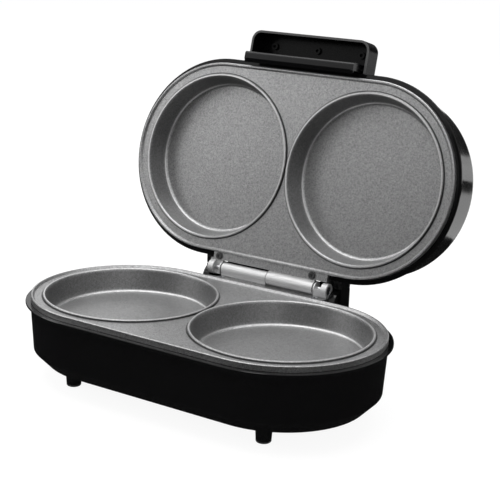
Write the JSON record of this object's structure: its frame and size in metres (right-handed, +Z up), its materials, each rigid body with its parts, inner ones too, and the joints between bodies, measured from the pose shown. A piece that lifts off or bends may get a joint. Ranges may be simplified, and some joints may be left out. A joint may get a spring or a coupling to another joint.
{
  "type": "omelette maker",
  "caption": "Countertop omelette maker: round non-stick pans in a glossy stadium-shaped base and a hinged lid with handle and latch, standing open.",
  "frame": {"origin": "on the table, under the middle of the appliance's box as it stands open", "axes": "+X along the length, -Y the handle side, +Y the hinge side, +Z up"},
  "size_m": [0.3408, 0.2908, 0.297],
  "materials": {
    "gloss_black_plastic": "gloss",
    "satin_black_plastic": "satin",
    "rubber_black": "matt",
    "nonstick_plate": "speckled grey non-stick coating on cast aluminium",
    "black_screws": "black oxide",
    "plated_screws": "zinc plated",
    "element_steel": "heat darkened",
    "shield_steel": "aluminised sheet",
    "terminal_brass": "plain",
    "thermostat_can": "drawn can",
    "fuse_sleeve": "glass-fibre sleeve",
    "terminal_nylon": "natural nylon",
    "pin_steel": "turned",
    "lens_amber": "clear moulded, orange",
    "lamp_glass": "clear"
  },
  "bodies": {
    "base": {"base_housing": "gloss_black_plastic", "hinge_guard": "satin_black_plastic", "bottom_cover": "satin_black_plastic", "bottom_cover_screws": "plated_screws", "foot_pads": "rubber_black", "heel_pads": "rubber_black", "lower_plate": "nonstick_plate", "lower_tab_screws": "plated_screws", "lower_element": "element_steel", "lower_element_terminals": "terminal_brass", "lower_element_clamps": "shield_steel", "lower_clamp_nuts": "plated_screws", "lower_heat_shield": "shield_steel", "lower_shield_screws": "plated_screws", "thermostat": "thermostat_can", "thermal_fuse": "fuse_sleeve", "terminal_block": "terminal_nylon", "cord_gland": "rubber_black", "hinge_pin": "pin_steel", "hinge_pin_clips": "pin_steel"},
    "lid": {"upper_plate": "nonstick_plate", "upper_tab_screws": "black_screws", "upper_element": "element_steel", "upper_element_terminals": "terminal_brass", "upper_element_clamps": "shield_steel", "upper_clamp_nuts": "plated_screws", "upper_heat_shield": "shield_steel", "upper_shield_screws": "plated_screws", "lid_housing": "gloss_black_plastic", "handle": "gloss_black_plastic", "handle_screws": "plated_screws", "latch_pin": "pin_steel", "latch_spring": "pin_steel", "indicator_lenses": "lens_amber", "indicator_lamps": "lamp_glass"},
    "latch": {"latch_clip": "satin_black_plastic"}
  },
  "joints": [
    {"name": "lid_hinge", "type": "hinge", "parent": "base", "child": "lid", "pos_m": [0, 0.04883, 0.0804], "axis": [1, 0, 0], "range_deg": [0, 104]},
    {"name": "latch_pivot", "type": "hinge", "parent": "lid", "child": "latch", "pos_m": [0, 0.106, 0.27], "axis": [-1, 0, 0], "range_deg": [0, 14], "stiffness_Nm_per_rad": 0.25, "springref_deg": -11.46, "deforming": ["latch_spring"]}
  ]
}
